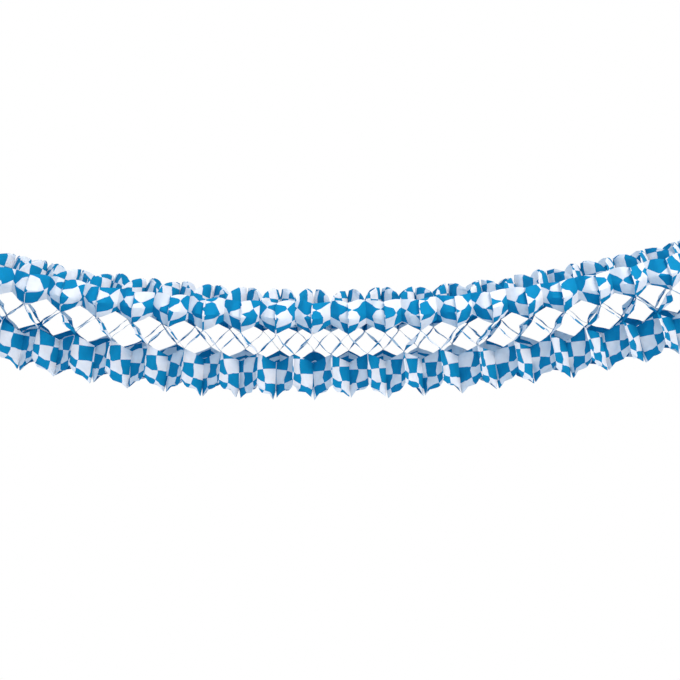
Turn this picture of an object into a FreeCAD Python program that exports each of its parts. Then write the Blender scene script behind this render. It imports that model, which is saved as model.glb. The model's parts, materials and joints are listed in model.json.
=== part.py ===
# A stretched honeycomb garland of die-cut tissue paper, hanging in a shallow sag.
# X runs along the garland from left to right, -Y faces the viewer and Z is up. Sizes are in millimetres.
# The origin is the hanging hole in the middle of the left end card, on the card's outer face.

import FreeCAD, Part
import Sketcher
import math
import os

Vector = FreeCAD.Vector

# The driving dimensions: alias, value, what it measures.
# Heights and reaches are measured from the garland's centreline, across its length.
DIMENSIONS = (
    ("sheet_count", 43, "tissue sheets in the garland"),
    ("sheet_spacing", 24.0, "from one sheet to the next, with the garland pulled open"),
    ("low_point_reach", 482.0, "along the centreline, from the left card to the lowest point"),
    ("sag_radius", 1905.0, "radius of the sagging centreline"),
    ("paper_thickness", 0.2, "one sheet of paper"),
    ("glue_width", 5.0, "width of a glue seam"),
    ("front_reach", 54.0, "centreline to the middle of a front or back seam"),
    ("front_bulge", 4.0, "how far the middle of a leaning front seam stands out"),
    ("front_tuck", 5.0, "how far the outer end of a leaning front seam leans back"),
    ("waist_recess", 8.0, "how far the inner end of a front or back seam lies inside its middle"),
    ("valley_reach", 30.0, "centreline to the ends of a short seam"),
    ("node_bulge", 5.0, "how far the middle of a short seam stands out of its ends"),
    ("inner_reach", 19.0, "centreline to a tall seam"),
    ("waist_height", 13.0, "centreline to the inner end of a front or back seam"),
    ("front_node_height", 33.0, "centreline to the middle of a front or back seam, upwards"),
    ("corner_height", 54.0, "centreline to the outer end of a front or back seam"),
    ("hole_height", 26.0, "centreline to the edge of the central hole, upwards"),
    ("short_node_height", 37.0, "centreline to the middle of a short seam"),
    ("short_tip_height", 56.0, "centreline to the outer end of a short seam"),
    ("tall_tip_height", 74.0, "centreline to the free tip of a tall lobe"),
    ("free_tip_length", 12.0, "from the last glue of a tall seam to the free tip"),
    ("shoulder_drop", 5.0, "how far the shoulders of a tall lobe lie below its tip"),
    ("shoulder_shift", 3.0, "from a shoulder to the middle between two seams"),
    ("tip_opening", 1.0, "how far a free tip stands off its neighbour's glue plane"),
    ("crease_lift", 3.0, "how far a crease stands out of the straight line between two seams"),
    ("strip_width", 20.0, "width of the paper strip across the waist"),
    ("card_thickness", 0.8, "thickness of an end card"),
    ("hole_radius", 2.5, "radius of the punched hanging hole"),
)

# One of the two neighbours that a seam is glued to: the one before the sheet, or the one after it.
BEFORE = -1
AFTER = 1

# An end card's corners over the top, from front to back: depth, height, and 1 in front or -1 behind.
CARD_CORNERS = (
    ("front_reach", "corner_height", 1),
    ("valley_reach", "short_tip_height", 1),
    ("inner_reach", "tall_tip_height", -1),
    ("front_reach", "corner_height", -1),
)


def make_sizes(doc):
    """The spreadsheet that holds the driving dimensions."""
    sizes = doc.addObject("Spreadsheet::Sheet", "Sizes")
    for row, (alias, value, note) in enumerate(DIMENSIONS, start=1):
        sizes.set(f"A{row}", alias)
        sizes.set(f"B{row}", str(value))
        sizes.set(f"C{row}", note)
        sizes.setAlias(f"B{row}", alias)
    doc.recompute()
    return sizes


class Garland:
    """Reads the sizes once and bends flat places along the sagging centreline."""

    def __init__(self, sizes):
        for alias, _, _ in DIMENSIONS:
            setattr(self, alias, float(sizes.get(alias)))
        self.sheet_count = int(self.sheet_count)
        self.left_end = -self.low_point_reach
        self.right_end = self.left_end + self.sheet_count * self.sheet_spacing
        end = self.left_end / self.sag_radius
        straight_on = Vector(math.cos(end), 0, math.sin(end))
        self.origin = Vector(0, 0, 0)
        self.origin = self.bend(self.left_end, 0, 0) - straight_on * self.card_thickness

    def bend(self, along, depth, height):
        """The point at a length along the centreline, a depth towards the viewer and a height above it."""
        turn = along / self.sag_radius
        radius = self.sag_radius - height
        place = Vector(radius * math.sin(turn), -depth, self.sag_radius - radius * math.cos(turn))
        return place - self.origin

    def turn_at(self, along):
        """The slope of the centreline, in degrees."""
        return math.degrees(along / self.sag_radius)


class Seam:
    """One glue seam: two rails of points, from its inner end to its outer end.

    A point is a depth, a height and how far it lies from the glue plane.
    """

    def __init__(self, neighbour, profile, glue_width):
        self.neighbour = neighbour
        half = glue_width / 2
        # The first rail is met first when the ring is followed over the top, from front to back.
        self.rails = [[(depth + side * half, height, off) for depth, height, off in profile] for side in (1, -1)]


def half_ring(garland):
    """The four seams over the top of a sheet, from front to back. A half-turn gives the four below."""
    g = garland
    front = Seam(BEFORE, (
        (g.front_reach - g.waist_recess, g.waist_height, 0),
        (g.front_reach + g.front_bulge, g.front_node_height, 0),
        (g.front_reach - g.front_tuck, g.corner_height, 0),
    ), g.glue_width)
    short = Seam(AFTER, (
        (g.valley_reach, g.hole_height, 0),
        (g.valley_reach + g.node_bulge, g.short_node_height, 0),
        (g.valley_reach, g.short_tip_height, 0),
    ), g.glue_width)
    tall = Seam(BEFORE, (
        (-g.inner_reach, g.hole_height, 0),
        (-g.inner_reach, g.tall_tip_height - g.free_tip_length, 0),
        (-g.inner_reach, g.tall_tip_height, g.tip_opening),
    ), g.glue_width)
    back = Seam(AFTER, (
        (g.waist_recess - g.front_reach, g.waist_height, 0),
        (-g.front_reach, g.front_node_height, 0),
        (-g.front_reach, g.corner_height, 0),
    ), g.glue_width)
    return front, short, tall, back


def fan(first, second, node):
    """Triangles between two rails of the same length that meet at one node of the second rail."""
    below = [(first[k], first[k + 1], second[node]) for k in range(len(first) - 1)]
    under = [(first[0], second[k + 1], second[k]) for k in range(node)]
    over = [(first[-1], second[k + 1], second[k]) for k in range(node, len(second) - 1)]
    return below + under + over


def stitch(first, second):
    """Triangles between two rails, taking the two rails' points in step."""
    faces = []
    a, b = 0, 0
    last_a, last_b = len(first) - 1, len(second) - 1
    while a < last_a or b < last_b:
        if b == last_b or (a < last_a and a * last_b <= b * last_a):
            faces.append((first[a], first[a + 1], second[b]))
            a += 1
        else:
            faces.append((first[a], second[b + 1], second[b]))
            b += 1
    return faces


def flat_sheet(garland):
    """The points of one sheet, as (depth, height, offset along the garland), and the facets between them."""
    g = garland
    reach = g.sheet_spacing / 2 - g.paper_thickness / 2
    seams = half_ring(g)
    points = {}
    facets = []
    for half, turned in ((0, 1), (1, -1)):
        for number, seam in enumerate(seams):
            for rail, places in enumerate(seam.rails):
                for level, (depth, height, off) in enumerate(places):
                    offset = seam.neighbour * (reach - off)
                    points[half, number, rail, level] = (turned * depth, turned * height, offset)
            levels = len(seam.rails[0])
            for level in range(levels - 1):
                facets.append((
                    (half, number, 0, level), (half, number, 0, level + 1),
                    (half, number, 1, level + 1), (half, number, 1, level),
                ))

        # The creased panel between the front seam and the short seam, its crease halfway along the garland.
        front_rail = [(half, 0, 1, level) for level in range(3)]
        short_rail = [(half, 1, 0, level) for level in range(3)]
        crease = []
        for level in range(3):
            depth_a, height_a, _ = points[front_rail[level]]
            depth_b, height_b, _ = points[short_rail[level]]
            key = (half, "crease", 0, level)
            points[key] = (
                (depth_a + depth_b) / 2 + turned * g.crease_lift,
                (height_a + height_b) / 2,
                0.0,
            )
            crease.append(key)
        facets += stitch(front_rail, crease)
        facets += fan(crease, short_rail, 1)

        # The plain pleats over the top and down the back, each with a shoulder on its outer edge.
        for first, second in ((1, 2), (2, 3)):
            rising = [(half, first, 1, k) for k in range(len(seams[first].rails[1]))]
            falling = [(half, second, 0, k) for k in range(len(seams[second].rails[0]))]
            shoulder = (half, "shoulder", first, 0)
            middle = (points[rising[-1]][0] + points[falling[-1]][0]) / 2
            height = g.tall_tip_height - g.shoulder_drop
            points[shoulder] = (middle, turned * height, AFTER * g.shoulder_shift)
            facets += stitch(rising, falling)
            facets.append((rising[-1], shoulder, falling[-1]))

        # The strip across the waist, from the back seam to the next half's front seam.
        side = -turned
        for rail, sign in ((0, -1), (1, 1)):
            points[half, "waist", rail, 0] = (side * (g.front_reach + sign * g.strip_width / 2), 0.0, 0.0)
        other = 1 - half
        inner_a, outer_a = (half, 3, 0, 0), (half, 3, 1, 0)
        inner_b, outer_b = (other, 0, 1, 0), (other, 0, 0, 0)
        inner, outer = (half, "waist", 0, 0), (half, "waist", 1, 0)
        facets.append((inner_a, outer_a, outer, inner))
        facets.append((inner, outer, outer_b, inner_b))
    return points, facets


def rim_of(facets):
    """The edges that only one facet uses, in that facet's direction."""
    edges = [(facet[k], facet[(k + 1) % len(facet)]) for facet in facets for k in range(len(facet))]
    used = set(edges)
    return [edge for edge in edges if (edge[1], edge[0]) not in used]


def make_sheet(doc, garland, number, points, facets, rim):
    """One sheet of paper, bent into its place in the garland."""
    centre = garland.left_end + (number + 0.5) * garland.sheet_spacing
    parity = 1 if number % 2 == 0 else -1
    skins = []
    for skin in (-1, 1):
        shift = skin * garland.paper_thickness / 2
        skins.append({
            key: garland.bend(centre + parity * offset + shift, depth, height)
            for key, (depth, height, offset) in points.items()
        })
    faces = []
    for skin in skins:
        faces += [polygon([skin[key] for key in facet]) for facet in facets]
    low, high = skins
    for start, end in rim:
        faces.append(polygon([low[start], low[end], high[end]]))
        faces.append(polygon([low[start], high[end], high[start]]))
    shell = Part.makeShell(faces)
    shell.sewShape()
    solid = Part.Solid(shell)
    if solid.Volume < 0:
        solid.reverse()
    sheet = doc.addObject("Part::Feature", f"tissue_sheet_{number + 1:02d}")
    sheet.Shape = solid
    sheet.Label = f"tissue_sheet_{number + 1:02d}"
    return sheet


def polygon(corners):
    """A flat face with these corners."""
    return Part.Face(Part.makePolygon(corners + corners[:1]))


def make_card(doc, garland, name, along, inwards):
    """An eight-sided end card with its punched hole, its inner face on the end of the paper."""
    body = doc.addObject("PartDesign::Body", name)
    body.Label = name
    plane = next(part for part in body.Origin.OriginFeatures if part.Role == "YZ_Plane")
    outline = body.newObject("Sketcher::SketchObject", f"{name}_outline")
    outline.AttachmentSupport = [(plane, "")]
    outline.MapMode = "FlatFace"

    # The sketch's across axis points away from the viewer, and a half-turn gives the four lower corners.
    corners = []
    for turned in (1, -1):
        for depth, height, side in CARD_CORNERS:
            corners.append((-turned * side, depth, turned, height))
    places = [
        Vector(across * (getattr(garland, depth) + garland.glue_width / 2), up * getattr(garland, height), 0)
        for across, depth, up, height in corners
    ]
    edges = [
        outline.addGeometry(Part.LineSegment(start, end), False)
        for start, end in zip(places, places[1:] + places[:1])
    ]
    for edge, after in zip(edges, edges[1:] + edges[:1]):
        outline.addConstraint(Sketcher.Constraint("Coincident", edge, 2, after, 1))
    for edge, place, (across, depth, up, height) in zip(edges, places, corners):
        number = outline.addConstraint(Sketcher.Constraint("DistanceX", -1, 1, edge, 1, place.x))
        outline.setExpression(f"Constraints[{number}]", f"{across} * (Sizes.{depth} + Sizes.glue_width / 2)")
        number = outline.addConstraint(Sketcher.Constraint("DistanceY", -1, 1, edge, 1, place.y))
        outline.setExpression(f"Constraints[{number}]", f"{up} * Sizes.{height}")
    hole = outline.addGeometry(Part.Circle(Vector(0, 0, 0), Vector(0, 0, 1), garland.hole_radius), False)
    outline.addConstraint(Sketcher.Constraint("Coincident", hole, 3, -1, 1))
    number = outline.addConstraint(Sketcher.Constraint("Radius", hole, garland.hole_radius))
    outline.setExpression(f"Constraints[{number}]", "Sizes.hole_radius")

    pad = body.newObject("PartDesign::Pad", f"{name}_pad")
    pad.Profile = outline
    pad.setExpression("Length", "Sizes.card_thickness")
    pad.Reversed = inwards > 0
    doc.recompute()
    turn = FreeCAD.Rotation(Vector(0, -1, 0), garland.turn_at(along))
    body.Placement = FreeCAD.Placement(garland.bend(along, 0, 0), turn)
    return body


def build():
    """The whole garland in one document."""
    doc = FreeCAD.newDocument("TissueGarland")
    garland = Garland(make_sizes(doc))
    points, facets = flat_sheet(garland)
    rim = rim_of(facets)
    pieces = [make_sheet(doc, garland, k, points, facets, rim) for k in range(garland.sheet_count)]
    pieces.append(make_card(doc, garland, "left_end_card", garland.left_end, 1))
    pieces.append(make_card(doc, garland, "right_end_card", garland.right_end, -1))
    doc.recompute()
    return doc, pieces


def check(doc, pieces):
    """Stops on a failed object, or on a piece whose shape is missing or broken."""
    for item in doc.Objects:
        if "Invalid" in item.State or "Error" in item.State:
            raise RuntimeError(f"{item.Label} did not recompute")
    for piece in pieces:
        if piece.Shape.isNull() or not piece.Shape.isValid():
            raise RuntimeError(f"{piece.Label} has no valid shape")


doc, pieces = build()
check(doc, pieces)
os.makedirs("parts", exist_ok=True)
for piece in pieces:
    piece.Shape.exportStep(f"parts/{piece.Label}.step")
print(f"{len(pieces)} pieces written")
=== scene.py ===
# The looks of a stretched honeycomb garland of printed tissue paper, laid out as an add-on.
# X runs along the garland, -Y faces the viewer, Z is up, and sizes are in metres.

import json
import math
import random

import bmesh
import bpy
from bpy.props import FloatProperty, FloatVectorProperty, IntProperty, PointerProperty, StringProperty
from mathutils import Matrix, Vector, noise


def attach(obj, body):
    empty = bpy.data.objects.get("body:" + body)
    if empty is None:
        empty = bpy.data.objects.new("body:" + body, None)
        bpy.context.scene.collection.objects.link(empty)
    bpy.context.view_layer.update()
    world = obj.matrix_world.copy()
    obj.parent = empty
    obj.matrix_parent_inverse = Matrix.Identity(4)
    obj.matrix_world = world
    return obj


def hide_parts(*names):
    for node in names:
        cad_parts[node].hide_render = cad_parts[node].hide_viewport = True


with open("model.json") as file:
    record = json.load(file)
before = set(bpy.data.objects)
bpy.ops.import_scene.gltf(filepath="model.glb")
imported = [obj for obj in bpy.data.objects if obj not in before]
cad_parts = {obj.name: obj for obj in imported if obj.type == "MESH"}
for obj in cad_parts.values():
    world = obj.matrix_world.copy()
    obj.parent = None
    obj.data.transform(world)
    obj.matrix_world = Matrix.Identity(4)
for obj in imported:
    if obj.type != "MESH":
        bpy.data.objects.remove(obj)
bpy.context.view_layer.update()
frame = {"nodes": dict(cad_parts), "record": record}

bl_info = {
    "name": "Tissue Garland",
    "version": (1, 0, 0),
    "blender": (4, 5, 0),
    "location": "View3D > Sidebar > Garland",
    "description": "Dresses a honeycomb tissue garland: printed sheets, card ends and a plain studio",
    "category": "Object",
}

MM = 0.001
SHEET_PREFIX = "tissue_sheet_"
SHEET_NODES = sorted(name for name in frame["nodes"] if name.startswith(SHEET_PREFIX))
CARD_NODES = ("left_end_card", "right_end_card")
MOUNTS = {mount["name"]: mount for mount in frame["record"]["mounts"]}

# The sheets' cut, measured from the centreline as in the model.
WAIST = 13 * MM
FRONT_REACH = 54 * MM
INNER_REACH = 19 * MM
VALLEY_REACH = 30 * MM
SHORT_NODE = 37 * MM
TALL_GLUE = 62 * MM
SHOULDER = 69 * MM
SHOULDER_SHIFT = 3 * MM
CORNER = 54 * MM
TIP = 74 * MM
PAPER = 0.2 * MM
PANEL = FRONT_REACH - VALLEY_REACH

# Lines that part one region of a sheet from the next: inside the waist strips, which are 20 mm wide,
# and in front of the valleys.
STRIP_INNER = FRONT_REACH - 13 * MM
LOBE_FRONT = VALLEY_REACH + 2 * MM

# The height from which the lobes are drawn anew, and the height of their free edge as the photo shows it,
# from a tip seam (0) to the next low seam (1).
EDGE_START = 45 * MM
UPPER_EDGE = ((0.0, 73 * MM), (0.35, 73 * MM), (0.6, 70 * MM), (0.85, 63 * MM), (1.0, 53 * MM))
LOWER_EDGE = ((0.0, 77 * MM), (0.1, 75 * MM), (0.3, 67 * MM), (0.75, 63 * MM), (1.0, 53 * MM))

# Points closer than this are one point. The normal of a face of the far skin points along the garland by
# at least this much.
MERGE = 0.02 * MM
FAR_SKIN = 0.1

# Points with less looseness than this count as glued.
GLUED = 0.05

# Laid flat, a waist strip is longer than it stands high by this share, because it hangs at a slant.
STRIP_STRETCH = 0.35

# The least share of its full turn that a taut strip and a slack strip take.
LEAST_TAUT = 0.6
LEAST_SLACK = 0.5

# The dents of a sheet: how far apart two sheets may lie in the noise, and what brings its values to about 1.
NOISE_SPAN = 40
NOISE_GAIN = 2

# How far, in squares, the climb of the print strays from sheet to sheet.
CLIMB_STRAY = 0.2

# Widths of the fine patterns: creeping ink, clouds of ink, crinkles, fibres and the card's pulp.
CREEP = 4 * MM
CLOUD = 11 * MM
CRINKLE = 9 * MM
FIBRE = 0.8 * MM
PULP = 1.4 * MM

# The sockets of a colour mix node, where several sockets have one name.
MIX_A, MIX_B, MIX_RESULT = 6, 7, 2


class Sag:
    """The sagging centreline: an arc that leaves both card ends square to them."""

    def __init__(self, left, right, sheets):
        card = left["dims"]["length_mm"] * MM
        left_out, right_out = Vector(left["axis"]), Vector(right["axis"])
        self.first_turn = math.atan2(-left_out.z, -left_out.x)
        self.last_turn = math.atan2(right_out.z, right_out.x)
        start = Vector(left["pos_m"]) - left_out * card
        end = Vector(right["pos_m"]) - right_out * card
        self.radius = (end.x - start.x) / (math.sin(self.last_turn) - math.sin(self.first_turn))
        self.centre_x = start.x - self.radius * math.sin(self.first_turn)
        self.centre_z = start.z + self.radius * math.cos(self.first_turn)
        self.spacing = (self.last_turn - self.first_turn) * self.radius / sheets

    def straighten(self, point):
        """A place in the sagging garland, as length from its left end, depth to the viewer and height."""
        across, down = point.x - self.centre_x, self.centre_z - point.z
        turn = math.atan2(across, down)
        along = (turn - self.first_turn) * self.radius
        return Vector((along, -point.y, self.radius - math.hypot(across, down)))

    def bend(self, point):
        """The reverse of straighten."""
        turn = self.first_turn + point.x / self.radius
        reach = self.radius - point.z
        return Vector((
            self.centre_x + reach * math.sin(turn),
            -point.y,
            self.centre_z - reach * math.cos(turn),
        ))

    def slope(self, along):
        """How steep the garland is at this length: 0 at its lowest point, and -1 or 1 at its steeper end."""
        turn = self.first_turn + along / self.radius
        return turn / max(-self.first_turn, self.last_turn)

    def lowest(self):
        """The lowest point of the centreline."""
        return Vector((self.centre_x, 0, self.centre_z - self.radius))


SAG = Sag(MOUNTS["left_hanging_hole"], MOUNTS["right_hanging_hole"], len(SHEET_NODES))


class TissueSettings(bpy.types.PropertyGroup):
    """Sizes and colours of the printed tissue."""
    blue: StringProperty(name="Blue", description="Blue of the print, as sRGB hex", default="#0093C4")
    white: StringProperty(name="White", description="Unprinted tissue, as sRGB hex", default="#F8F4F2")
    # Painted shade: a blue tint on the light through the paper, which turns white squares in shade blue-grey.
    layers: StringProperty(
        name="Painted_shade", description="Tint of light through the layers, as sRGB hex", default="#A4E0FF")
    square: FloatProperty(
        name="Square", description="Side of a print square", default=20.5 * MM, unit="LENGTH")
    thickness: FloatProperty(
        name="Thickness", description="Thickness of the paper", default=PAPER, unit="LENGTH")
    cuts: IntProperty(name="Cuts", description="Cuts across each facet's edge", default=3, min=0, max=6)
    crumple: FloatProperty(
        name="Crumple", description="How far a facet strays from flat", default=2.0 * MM, unit="LENGTH")
    crumple_size: FloatProperty(
        name="Crumple size", description="Width of one soft dent", default=19 * MM, unit="LENGTH")
    taut_twist: FloatProperty(
        name="Taut twist", description="Most that a taut waist strip turns", default=math.radians(10),
        subtype="ANGLE")
    slack_twist: FloatProperty(
        name="Slack twist", description="Most that a slack waist strip turns", default=math.radians(26),
        subtype="ANGLE")
    drift: FloatProperty(
        name="Drift", description="How far the taut strips at an end turn to the middle", default=math.radians(11),
        subtype="ANGLE")
    bow: FloatProperty(
        name="Bow", description="Most that a waist strip bows", default=2.4 * MM, unit="LENGTH")
    fin_lean: FloatProperty(
        name="Fin lean", description="Most that the free edge of a glued fin leans", default=2.0 * MM,
        unit="LENGTH")
    lean: FloatProperty(name="Lean", description="How far the print leans in the upper front panels", default=0.8)
    tip_lean: FloatProperty(
        name="Tip lean", description="How far the print leans near the tips of the tall lobes", default=0.6)
    uneven: FloatProperty(
        name="Uneven", description="How far a free edge strays from its line", default=3.0 * MM,
        unit="LENGTH")
    flare: FloatProperty(
        name="Flare", description="Most that the free tip of a tall lobe turns outwards", default=2.5 * MM,
        unit="LENGTH")
    curl: FloatProperty(
        name="Curl", description="Most that a free tip curls down from its full height", default=5 * MM,
        unit="LENGTH")
    lean_back: FloatProperty(
        name="Lean back", description="How steeply the upper lobes lean back", default=0.5)
    climb: FloatProperty(
        name="Climb", description="Squares that the print climbs from sheet to sheet", default=0.22)
    slip: FloatProperty(
        name="Slip", description="Squares that the print slips sideways from sheet to sheet", default=0.1)
    skew: FloatProperty(
        name="Skew", description="Most that the print stands askew on a sheet", default=math.radians(8),
        subtype="ANGLE")
    see_through: FloatProperty(
        name="See-through", description="Share of the light that passes through the paper", default=0.4)
    crisp: FloatProperty(
        name="Crisp", description="Folds steeper than this are shaded crisp", default=math.radians(14),
        subtype="ANGLE")
    seed: IntProperty(name="Seed", description="Start of the sheets' small differences", default=7)


class CardSettings(bpy.types.PropertyGroup):
    """Colours of the card ends."""
    face: StringProperty(name="Face", description="Card, as sRGB hex", default="#ECEAE4")


class StudioSettings(bpy.types.PropertyGroup):
    """The camera, the lamps and the floor."""
    view_width: FloatProperty(
        name="View width", description="Width seen at the garland", default=0.925, unit="LENGTH")
    lens: FloatProperty(name="Lens", description="Focal length in mm on a 36 mm frame", default=56.0)
    rise: FloatProperty(
        name="Rise", description="How far above the garland the camera looks from", default=math.radians(2.5),
        subtype="ANGLE")
    look_right: FloatProperty(
        name="Look right", description="From the lowest point to the middle of the view", default=34 * MM,
        unit="LENGTH")
    look_up: FloatProperty(
        name="Look up", description="From the lowest point to the middle of the view", default=4 * MM,
        unit="LENGTH")
    floor_drop: FloatProperty(
        name="Floor drop", description="From the garland to the floor", default=2.3, unit="LENGTH")
    floor_radius: FloatProperty(
        name="Floor radius", description="Radius of the round floor", default=3.4, unit="LENGTH")
    floor_tone: StringProperty(name="Floor", description="Floor, as sRGB hex", default="#F4F4F4")
    floor_glow: FloatProperty(
        name="Floor glow", description="Share of white, against shadow, that the camera sees on the floor",
        default=0.85)
    key_place: FloatVectorProperty(
        name="Key place", description="From the middle of the view to the lamp", default=(0.9, -1.8, 1.6),
        unit="LENGTH")
    key_size: FloatProperty(
        name="Key size", description="Side of the square lamp", default=1.0, unit="LENGTH")
    key_power: FloatProperty(name="Key", description="Power of the lamp above, in watts", default=76.0)
    key_tone: StringProperty(
        name="Key tone", description="Colour of the lamp, as sRGB hex", default="#FFEAD6")
    fill_level: FloatProperty(
        name="Fill", description="Brightness of the soft light all round", default=1.12)
    fill_tone: StringProperty(
        name="Fill tone", description="Colour of the soft light, as sRGB hex", default="#CDE6FF")


def linear(hex_colour):
    """An sRGB hex colour as linear red, green, blue and alpha."""
    values = [int(hex_colour[k:k + 2], 16) / 255 for k in (1, 3, 5)]
    return [v / 12.92 if v <= 0.04045 else ((v + 0.055) / 1.055) ** 2.4 for v in values] + [1.0]


def add(tree, kind, settings=(), **links):
    """Adds a node.

    Settings are its own properties or its inputs' values, and links join its inputs to sockets.
    """
    node = tree.nodes.new(kind)
    for name, value in dict(settings).items():
        if name in node.inputs:
            node.inputs[name].default_value = value
        else:
            setattr(node, name, value)
    for name, source in links.items():
        tree.links.new(source, node.inputs[name.replace("_", " ")])
    return node


def new_material(name):
    """An empty node material and its output."""
    material = bpy.data.materials.new(name)
    material.use_nodes = True
    material.node_tree.nodes.clear()
    return material, material.node_tree, add(material.node_tree, "ShaderNodeOutputMaterial")


def multiplied(tree, colour):
    """A mix node that multiplies this colour by the one in its second colour socket."""
    node = add(tree, "ShaderNodeMix", {"data_type": "RGBA", "blend_type": "MULTIPLY", "Factor": 1.0})
    tree.links.new(colour, node.inputs[MIX_A])
    return node


def printed_tissue(settings):
    """Tissue paper printed right through: thin, matt, a little see-through, with crinkles and fibres."""
    material, tree, output = new_material("printed_tissue_paper")
    uv = add(tree, "ShaderNodeUVMap", {"uv_map": "print"}).outputs["UV"]
    place = add(tree, "ShaderNodeTexCoord").outputs["Object"]

    # The print's edges waver by up to 0.4 mm, because the ink creeps along the fibres.
    creep = add(tree, "ShaderNodeTexNoise", {"Scale": 1 / CREEP, "Detail": 2.0}, Vector=place)
    wander = add(tree, "ShaderNodeVectorMath", {"operation": "MULTIPLY_ADD"})
    tree.links.new(creep.outputs["Color"], wander.inputs[0])
    wander.inputs[1].default_value = (0.02, 0.02, 0.0)
    tree.links.new(uv, wander.inputs[2])
    squares = add(tree, "ShaderNodeTexChecker", {
        "Scale": 1.0, "Color1": linear(settings.blue), "Color2": linear(settings.white),
    }, Vector=wander.outputs["Vector"])

    # Ink lies a little unevenly, in clouds about a centimetre across.
    clouds = add(tree, "ShaderNodeTexNoise", {"Scale": 1 / CLOUD, "Detail": 3.0}, Vector=place)
    level = add(tree, "ShaderNodeMapRange", {
        "From Min": 0.3, "From Max": 0.7, "To Min": 0.94, "To Max": 1.04,
    }, Value=clouds.outputs["Fac"])
    colour = multiplied(tree, squares.outputs["Color"])
    tree.links.new(level.outputs["Result"], colour.inputs[MIX_B])

    # Crinkles about a centimetre apart, and fibres drawn coarser than real ones so that they show.
    crinkle = add(tree, "ShaderNodeTexNoise",
                  {"Scale": 1 / CRINKLE, "Detail": 4.0, "Distortion": 0.6}, Vector=place)
    fibre = add(tree, "ShaderNodeTexNoise", {"Scale": 1 / FIBRE, "Detail": 2.0}, Vector=place)
    broad = add(tree, "ShaderNodeBump", {"Strength": 0.35, "Distance": 1.5 * MM},
                Height=crinkle.outputs["Fac"])
    fine = add(tree, "ShaderNodeBump", {"Strength": 0.2, "Distance": 0.2 * MM},
               Height=fibre.outputs["Fac"], Normal=broad.outputs["Normal"])

    paper = add(tree, "ShaderNodeBsdfPrincipled", {"Roughness": 0.85, "Specular IOR Level": 0.2, "IOR": 1.5},
                Base_Color=colour.outputs[MIX_RESULT], Normal=fine.outputs["Normal"])

    # Painted blue shade: light that comes through the paper is tinted blue, so that white squares in shade turn
    # blue-grey.
    painted_shade_colour = multiplied(tree, colour.outputs[MIX_RESULT])
    painted_shade_colour.inputs[MIX_B].default_value = linear(settings.layers)
    through = add(tree, "ShaderNodeBsdfTranslucent", {},
                  Color=painted_shade_colour.outputs[MIX_RESULT], Normal=broad.outputs["Normal"])
    mix = add(tree, "ShaderNodeMixShader", {"Fac": settings.see_through})
    tree.links.new(paper.outputs["BSDF"], mix.inputs[1])
    tree.links.new(through.outputs["BSDF"], mix.inputs[2])
    tree.links.new(mix.outputs["Shader"], output.inputs["Surface"])
    return material


def end_card_board(settings):
    """Uncoated white-lined chipboard: matt, with grey flecks of pulp."""
    material, tree, output = new_material("white_lined_chipboard")
    place = add(tree, "ShaderNodeTexCoord").outputs["Object"]
    pulp = add(tree, "ShaderNodeTexNoise", {"Scale": 1 / PULP, "Detail": 5.0}, Vector=place)
    flecks = add(tree, "ShaderNodeValToRGB", {}, Fac=pulp.outputs["Fac"])
    flecks.color_ramp.elements[0].position = 0.30
    flecks.color_ramp.elements[0].color = linear("#C9C4BA")
    flecks.color_ramp.elements[1].position = 0.42
    flecks.color_ramp.elements[1].color = linear(settings.face)
    bump = add(tree, "ShaderNodeBump", {"Strength": 0.25, "Distance": 0.1 * MM}, Height=pulp.outputs["Fac"])
    board = add(tree, "ShaderNodeBsdfPrincipled", {"Roughness": 0.8, "Specular IOR Level": 0.3},
                Base_Color=flecks.outputs["Color"], Normal=bump.outputs["Normal"])
    tree.links.new(board.outputs["BSDF"], output.inputs["Surface"])
    return material


def one_skin(mesh, centre, settings):
    """The middle layer of a sheet, straightened: X is the offset from its centre, Y depth and Z height."""
    skin = bmesh.new()
    skin.from_mesh(mesh)
    bmesh.ops.remove_doubles(skin, verts=skin.verts, dist=MERGE)
    for vert in skin.verts:
        vert.co = SAG.straighten(vert.co) - Vector((centre, 0, 0))
    skin.normal_update()
    away = [face for face in skin.faces if face.normal.x < FAR_SKIN]
    bmesh.ops.delete(skin, geom=away, context="FACES")
    bmesh.ops.translate(skin, vec=(-settings.thickness / 2, 0, 0), verts=skin.verts)
    return skin


def looseness(offset):
    """0 where a sheet is glued to a neighbour, and 1 halfway between two seams."""
    return max(0.0, 1 - (abs(offset) / (SAG.spacing / 2 - PAPER)) ** 2)


def along_line(points, place):
    """The height of a line of (place, height) points."""
    for (start, low), (end, high) in zip(points, points[1:]):
        if place <= end:
            return low + (high - low) * (place - start) / (end - start)
    return points[-1][1]


def fin_lean(number, place, settings):
    """How far the free edge of a glued fin leans: the same for the two sheets that share it.

    A seam has four fins: one in each quarter of the garland's section.
    """
    seam = number + (1 if place.x > 0 else 0)
    quarter = (2 if place.y > 0 else 0) + (1 if place.z > 0 else 0)
    return random.Random(settings.seed + 4 * seam + quarter).uniform(-1, 1) * settings.fin_lean


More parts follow.
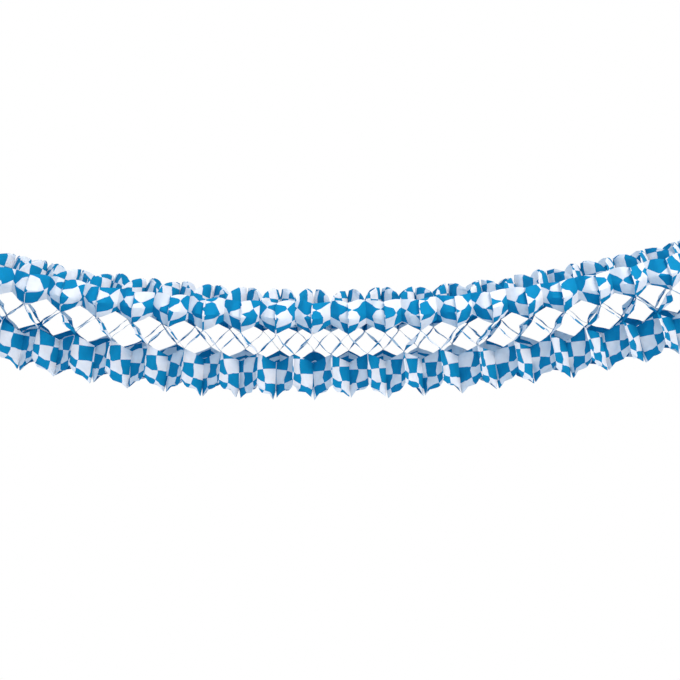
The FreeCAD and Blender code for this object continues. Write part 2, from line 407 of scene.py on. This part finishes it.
def reshape_lobes(skin, parity, settings, rng):
    """Draws the lobes' free edges to the photo's stepped outline, and leans the upper ones back."""
    reach = SAG.spacing / 2
    shoulder = (reach + SHOULDER_SHIFT) / (2 * reach)
    plain_edge = ((0.0, TIP), (shoulder, SHOULDER), (1.0, CORNER))

    # Each sheet's lobes differ a little. The lower tips flare and curl only now and then.
    uneven = {key: rng.uniform(-1, 1) * settings.uneven for key in ("upper", "lower", "front")}
    flare = {"upper": rng.uniform(0.2, 1) * settings.flare, "lower": rng.random() ** 3 * settings.flare}
    curl = {"upper": rng.random() * settings.curl, "lower": rng.random() ** 2 * settings.curl}
    for vert in skin.verts:
        high = abs(vert.co.z)
        if high < EDGE_START:
            continue
        place = min(1.0, max(0.0, 0.5 + parity * vert.co.x / (2 * reach)))
        give = looseness(vert.co.x)
        upper = vert.co.z > 0
        if (vert.co.y if upper else -vert.co.y) > LOBE_FRONT:
            stray = give * uneven["front"] * (high - EDGE_START) / (CORNER - EDGE_START)
            vert.co.z += math.copysign(stray, vert.co.z)
            continue
        plain = along_line(plain_edge, place) - EDGE_START
        wanted = along_line(UPPER_EDGE if upper else LOWER_EDGE, place) - EDGE_START
        lobe = "upper" if upper else "lower"
        wanted += give * uneven[lobe]
        tip = max(0.0, (high - TALL_GLUE) / (TIP - TALL_GLUE)) * (1 - place) ** 2
        wanted -= tip * curl[lobe]
        vert.co.x += parity * tip * flare[lobe]
        vert.co.z = math.copysign(EDGE_START + (high - EDGE_START) * wanted / plain, vert.co.z)
        if upper:
            vert.co.y -= (high - EDGE_START) * settings.lean_back


def crumple_sheet(skin, number, settings, rng):
    """Subdivides a sheet and bends it as soft paper bends, leaving its glue seams where they are."""
    bmesh.ops.subdivide_edges(skin, edges=skin.edges, cuts=settings.cuts, use_grid_fill=True)
    parity = 1 if number % 2 == 0 else -1
    reshape_lobes(skin, parity, settings, rng)
    drift = Vector([rng.uniform(0, NOISE_SPAN) for _ in range(3)])

    # Where the garland slopes, the strips that run down the slope hang slack and the others stay taut.
    slope = SAG.slope((number + 0.5) * SAG.spacing)
    turns, bows = {}, {}
    for side in (-1, 1):
        slack = min(1.0, max(0.0, -2 * parity * side * slope))
        taut_turn = rng.choice((-1, 1)) * rng.uniform(LEAST_TAUT, 1) * settings.taut_twist
        slack_turn = math.copysign(slack, slope) * rng.uniform(LEAST_SLACK, 1) * settings.slack_twist
        turns[side] = taut_turn + side * (slack_turn - slope * settings.drift)
        bows[side] = rng.uniform(-1, 1) * settings.bow
    for vert in skin.verts:
        give = looseness(vert.co.x)
        reach, high = abs(vert.co.y), abs(vert.co.z)
        if give < GLUED and vert.is_boundary and STRIP_INNER < reach and WAIST < high < CORNER:
            vert.co.x += fin_lean(number, vert.co, settings)
        dent = noise.noise(vert.co / settings.crumple_size + drift)
        vert.co.x += give * settings.crumple * dent * NOISE_GAIN
        side = 1 if vert.co.y > 0 else -1
        if high < WAIST and reach > STRIP_INNER:
            inside = 1 - (vert.co.z / WAIST) ** 4
            vert.co.x += inside * ((reach - FRONT_REACH) * math.sin(turns[side]) + bows[side])


def unfolded():
    """Depths across the upper half of a sheet, each with its place when the sheet lies flat."""
    seams = (-FRONT_REACH, -INNER_REACH, VALLEY_REACH, FRONT_REACH)
    flat = [0.0]
    for near, far in zip(seams, seams[1:]):
        flat.append(flat[-1] + math.hypot(far - near, SAG.spacing))
    points = [(depth, place - flat[-1] / 2) for depth, place in zip(seams, flat)]
    return points + [(seams[-1] + PANEL, points[-1][1] + PANEL)]


def print_squares(skin, number, settings, rng):
    """Lays the sheet's flat cut under the print, as UVs counted in print squares."""
    flat_depth = unfolded()
    drift = Vector((settings.slip * number, settings.climb * number + rng.uniform(-CLIMB_STRAY, CLIMB_STRAY)))
    turn = Matrix.Rotation(rng.uniform(-1, 1) * settings.skew, 2)
    layer = skin.loops.layers.uv.new("print")
    for face in skin.faces:
        for loop in face.loops:
            _, depth, height = loop.vert.co
            half = 1 if height > 0 else -1
            high = abs(height)
            up = height + STRIP_STRETCH * max(-WAIST, min(WAIST, height))

            # Above, the print leans in the panels in front of the valleys, and near the tips behind the tall
            # seams. Below, it does the same turned by 180 degrees.
            past = max(0.0, half * depth - VALLEY_REACH)
            near = min(1.0, high / WAIST) * settings.lean
            slant = near * past * half
            side = near * (high - SHORT_NODE) * past / PANEL
            behind = max(0.0, -INNER_REACH - half * depth)
            tall = min(1.0, max(0.0, high - SHORT_NODE) / (CORNER - SHORT_NODE))
            slant += half * behind * settings.tip_lean * tall
            flat = Vector((half * along_line(flat_depth, half * depth) - side, up + slant))
            loop[layer].uv = turn @ flat / settings.square + drift


def make_sheet(node, number, settings, material):
    """One dressed sheet in the place of its plain solid."""
    rng = random.Random(settings.seed * 1000 + number)
    centre = (number + 0.5) * SAG.spacing
    skin = one_skin(frame["nodes"][node].data, centre, settings)
    print_squares(skin, number, settings, rng)
    crumple_sheet(skin, number, settings, rng)
    for vert in skin.verts:
        vert.co = SAG.bend(vert.co + Vector((centre - settings.thickness / 2, 0, 0)))
    bmesh.ops.solidify(skin, geom=skin.faces, thickness=-settings.thickness)
    for face in skin.faces:
        face.smooth = True
    name = f"paper_{number + 1:02d}"
    mesh = bpy.data.meshes.new(name)
    skin.to_mesh(mesh)
    skin.free()
    mesh.set_sharp_from_angle(angle=settings.crisp)
    mesh.materials.append(material)
    piece = bpy.data.objects.new(name, mesh)
    bpy.context.scene.collection.objects.link(piece)
    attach(piece, "root")
    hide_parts(node)


class GARLAND_OT_sheets(bpy.types.Operator):
    """Dress every tissue sheet: soft folds, twisted waist strips and the printed squares"""
    bl_idname = "garland.sheets"
    bl_label = "Tissue sheets"

    def execute(self, context):
        settings = context.scene.garland_tissue
        material = printed_tissue(settings)
        for number, node in enumerate(SHEET_NODES):
            make_sheet(node, number, settings, material)
        return {"FINISHED"}


class GARLAND_OT_cards(bpy.types.Operator):
    """Give the two card ends their board"""
    bl_idname = "garland.cards"
    bl_label = "Card ends"

    def execute(self, context):
        material = end_card_board(context.scene.garland_card)
        for name in CARD_NODES:
            mesh = frame["nodes"][name].data
            mesh.materials.clear()
            mesh.materials.append(material)
        return {"FINISHED"}


def white_to_the_eye(tree, seen, lit):
    """A mix of two shaders: seen by the camera and in reflections, and lit for all other rays."""
    path = add(tree, "ShaderNodeLightPath")
    white = path.outputs["Is Camera Ray"]
    for ray in ("Is Glossy Ray", "Is Transmission Ray"):
        either = add(tree, "ShaderNodeMath", {"operation": "MAXIMUM"})
        tree.links.new(white, either.inputs[0])
        tree.links.new(path.outputs[ray], either.inputs[1])
        white = either.outputs["Value"]
    mix = add(tree, "ShaderNodeMixShader", {}, Fac=white)
    tree.links.new(lit, mix.inputs[1])
    tree.links.new(seen, mix.inputs[2])
    return mix.outputs["Shader"]


def white_surroundings(settings):
    """White to the camera, and a soft even light to everything else."""
    world = bpy.data.worlds.new("studio")
    world.use_nodes = True
    tree = world.node_tree
    tree.nodes.clear()
    seen = add(tree, "ShaderNodeBackground", {"Color": (1, 1, 1, 1), "Strength": 1.0})
    lit = add(tree, "ShaderNodeBackground",
              {"Color": linear(settings.fill_tone), "Strength": settings.fill_level})
    output = add(tree, "ShaderNodeOutputWorld")
    shader = white_to_the_eye(tree, seen.outputs["Background"], lit.outputs["Background"])
    tree.links.new(shader, output.inputs["Surface"])
    bpy.context.scene.world = world


def pale_floor(settings, below):
    """A round pale floor far below the garland, near white to the camera, that keeps a soft shadow."""
    material, tree, output = new_material("matt_studio_floor")
    matt = add(tree, "ShaderNodeBsdfDiffuse", {"Color": linear(settings.floor_tone)})
    bright = add(tree, "ShaderNodeEmission", {"Color": (1, 1, 1, 1), "Strength": 1.0})
    pale = add(tree, "ShaderNodeMixShader", {"Fac": settings.floor_glow})
    tree.links.new(matt.outputs["BSDF"], pale.inputs[1])
    tree.links.new(bright.outputs["Emission"], pale.inputs[2])
    shader = white_to_the_eye(tree, pale.outputs["Shader"], matt.outputs["BSDF"])
    tree.links.new(shader, output.inputs["Surface"])
    disc = bmesh.new()
    bmesh.ops.create_circle(disc, cap_ends=True, segments=96, radius=settings.floor_radius)
    bmesh.ops.translate(disc, vec=below, verts=disc.verts)
    mesh = bpy.data.meshes.new("studio_floor")
    disc.to_mesh(mesh)
    disc.free()
    mesh.materials.append(material)
    floor = bpy.data.objects.new("studio_floor", mesh)
    bpy.context.scene.collection.objects.link(floor)


def soft_lamp(name, target, settings):
    """A square soft lamp that faces the target."""
    place = target + Vector(settings.key_place)
    lamp = bpy.data.lights.new(name, "AREA")
    lamp.size = settings.key_size
    lamp.energy = settings.key_power
    lamp.color = linear(settings.key_tone)[:3]
    lamp_object = bpy.data.objects.new(name, lamp)
    lamp_object.location = place
    lamp_object.rotation_euler = (target - place).to_track_quat("-Z", "Y").to_euler()
    bpy.context.scene.collection.objects.link(lamp_object)


class GARLAND_OT_studio(bpy.types.Operator):
    """Set the camera, the lamps, the floor and the white surroundings"""
    bl_idname = "garland.studio"
    bl_label = "Studio"

    def execute(self, context):
        settings = context.scene.garland_studio
        target = SAG.lowest() + Vector((settings.look_right, 0, settings.look_up))
        camera = bpy.data.cameras.new("front_camera")
        camera.lens = settings.lens
        away = settings.view_width * settings.lens / camera.sensor_width
        camera_object = bpy.data.objects.new("front_camera", camera)
        camera_object.location = target + away * Vector((0, -math.cos(settings.rise), math.sin(settings.rise)))
        camera_object.rotation_euler = (math.radians(90) - settings.rise, 0, 0)
        context.scene.collection.objects.link(camera_object)
        context.scene.camera = camera_object
        white_surroundings(settings)
        pale_floor(settings, target - Vector((0, 0, settings.floor_drop)))
        soft_lamp("key_lamp", target, settings)
        context.scene.view_settings.view_transform = "Standard"
        return {"FINISHED"}


class GARLAND_PT_panel(bpy.types.Panel):
    """The garland's settings and the buttons that make it"""
    bl_idname = "GARLAND_PT_panel"
    bl_label = "Garland"
    bl_space_type = "VIEW_3D"
    bl_region_type = "UI"
    bl_category = "Garland"

    def draw(self, context):
        groups = (
            ("garland.sheets", context.scene.garland_tissue),
            ("garland.cards", context.scene.garland_card),
            ("garland.studio", context.scene.garland_studio),
        )
        for operator, settings in groups:
            box = self.layout.box()
            for name in type(settings).__annotations__:
                box.prop(settings, name)
            box.operator(operator)


CLASSES = (
    TissueSettings, CardSettings, StudioSettings,
    GARLAND_OT_sheets, GARLAND_OT_cards, GARLAND_OT_studio, GARLAND_PT_panel,
)


def register():
    """Registers the classes and hangs their settings on the scene."""
    for cls in CLASSES:
        bpy.utils.register_class(cls)
    bpy.types.Scene.garland_tissue = PointerProperty(type=TissueSettings)
    bpy.types.Scene.garland_card = PointerProperty(type=CardSettings)
    bpy.types.Scene.garland_studio = PointerProperty(type=StudioSettings)


def unregister():
    """Takes the settings and the classes off again."""
    del bpy.types.Scene.garland_studio
    del bpy.types.Scene.garland_card
    del bpy.types.Scene.garland_tissue
    for cls in reversed(CLASSES):
        bpy.utils.unregister_class(cls)


def main():
    """Makes the whole scene."""
    register()
    bpy.ops.garland.sheets()
    bpy.ops.garland.cards()
    bpy.ops.garland.studio()


if __name__ == "__main__":
    main()
